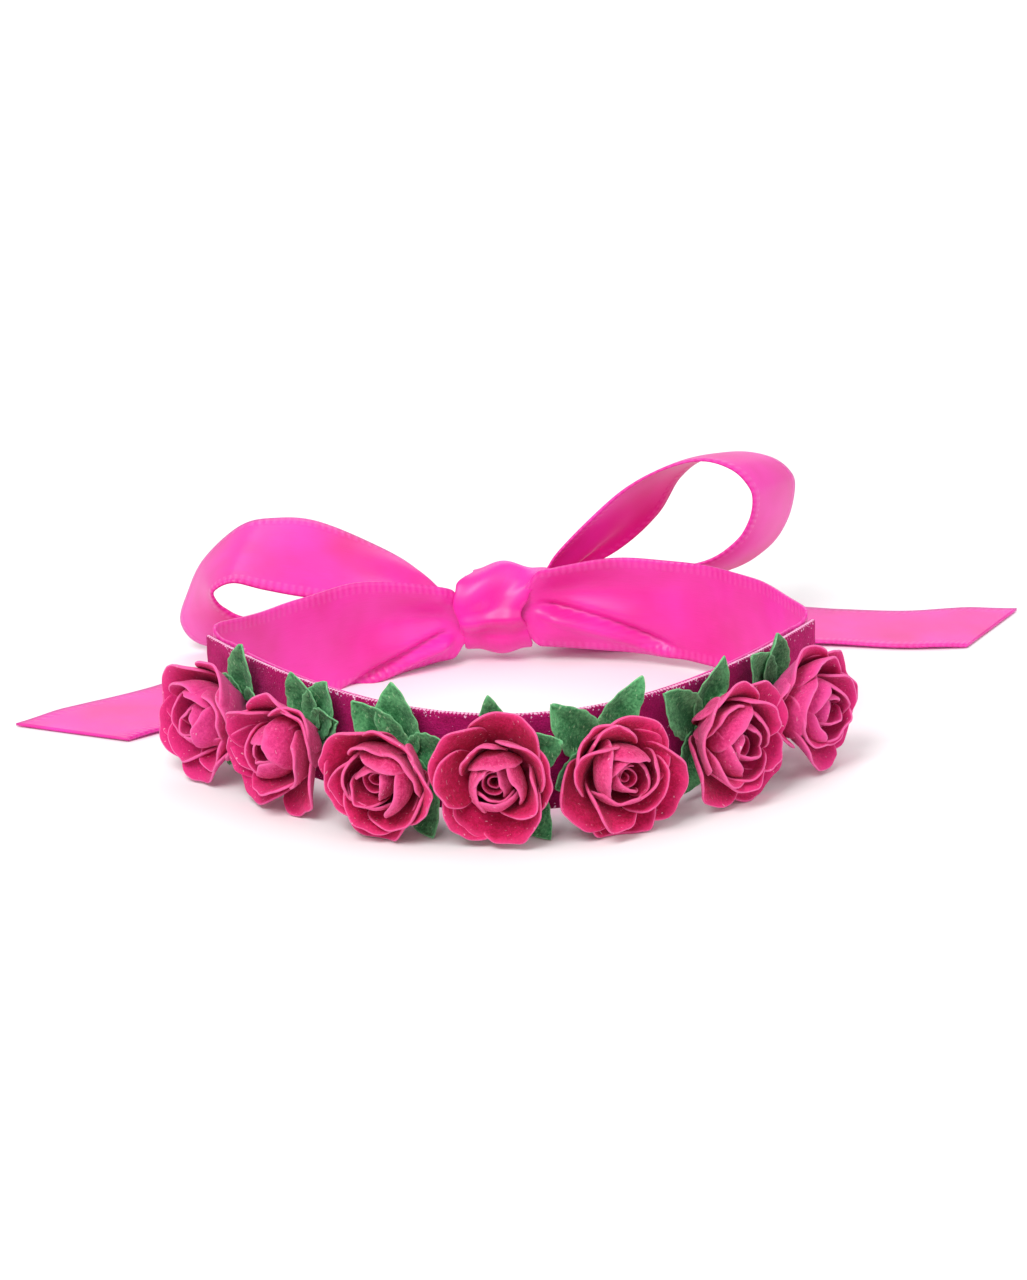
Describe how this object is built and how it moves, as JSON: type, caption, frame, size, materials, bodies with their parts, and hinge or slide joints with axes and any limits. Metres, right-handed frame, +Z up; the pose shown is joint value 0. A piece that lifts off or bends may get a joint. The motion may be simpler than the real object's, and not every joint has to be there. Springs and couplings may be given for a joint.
{
  "type": "flower crown",
  "caption": "Hair crown of paper roses with green calyx leaves on a velvet ribbon band, tied at the back with a satin ribbon bow.",
  "frame": {"origin": "on the table plane, midway between the two ends of the velvet band, in the middle of the head opening", "axes": "+X to the wearer's side on the right when the roses face the viewer, -Y towards the roses, +Y towards the bow, +Z up through the head opening"},
  "size_m": [0.2324, 0.1533, 0.0476],
  "materials": {
    "velvet": "cut-pile velvet ribbon with a picot selvedge",
    "satin": "satin",
    "petal_paper": "matte",
    "heart_paper": "matte",
    "leaf_paper": "matte",
    "stem_wire": "paper-wrapped wire, matte"
  },
  "bodies": {
    "crown": {"velvet_band": "velvet", "satin_lining": "satin", "strap_left": "satin", "strap_right": "satin", "knot_core": "satin", "knot_wrap": "satin", "rose_1_outer_petals": "petal_paper", "rose_1_inner_petals": "heart_paper", "rose_1_bud": "heart_paper", "rose_1_calyx": "leaf_paper", "rose_1_stem": "stem_wire", "rose_2_outer_petals": "petal_paper", "rose_2_inner_petals": "heart_paper", "rose_2_bud": "heart_paper", "rose_2_calyx": "leaf_paper", "rose_2_stem": "stem_wire", "rose_3_outer_petals": "petal_paper", "rose_3_inner_petals": "heart_paper", "rose_3_bud": "heart_paper", "rose_3_calyx": "leaf_paper", "rose_3_stem": "stem_wire", "rose_4_outer_petals": "petal_paper", "rose_4_inner_petals": "heart_paper", "rose_4_bud": "heart_paper", "rose_4_calyx": "leaf_paper", "rose_4_stem": "stem_wire", "rose_5_outer_petals": "petal_paper", "rose_5_inner_petals": "heart_paper", "rose_5_bud": "heart_paper", "rose_5_calyx": "leaf_paper", "rose_5_stem": "stem_wire", "rose_6_outer_petals": "petal_paper", "rose_6_inner_petals": "heart_paper", "rose_6_bud": "heart_paper", "rose_6_calyx": "leaf_paper", "rose_6_stem": "stem_wire", "rose_7_outer_petals": "petal_paper", "rose_7_inner_petals": "heart_paper", "rose_7_bud": "heart_paper", "rose_7_calyx": "leaf_paper", "rose_7_stem": "stem_wire"},
    "loop_left": {"loop_left": "satin"},
    "loop_right": {"loop_right": "satin"},
    "tail_left": {"tail_left": "satin"},
    "tail_right": {"tail_right": "satin"}
  },
  "joints": [
    {"name": "loop_left_lift", "type": "hinge", "parent": "crown", "child": "loop_left", "pos_m": [-0.0137, 0.052, 0.011], "axis": [0, 1, 0], "range_deg": [0, 40]},
    {"name": "loop_right_lift", "type": "hinge", "parent": "crown", "child": "loop_right", "pos_m": [0.0071, 0.054, 0.0165], "axis": [0, -1, 0], "range_deg": [-12, 25]},
    {"name": "tail_left_sweep", "type": "hinge", "parent": "crown", "child": "tail_left", "pos_m": [-0.0137, 0.05408, 0], "axis": [0, 0, -1], "range_deg": [-4, 35]},
    {"name": "tail_right_sweep", "type": "hinge", "parent": "crown", "child": "tail_right", "pos_m": [0.0071, 0.05408, 0], "axis": [0, 0, 1], "range_deg": [-8, 35]}
  ]
}
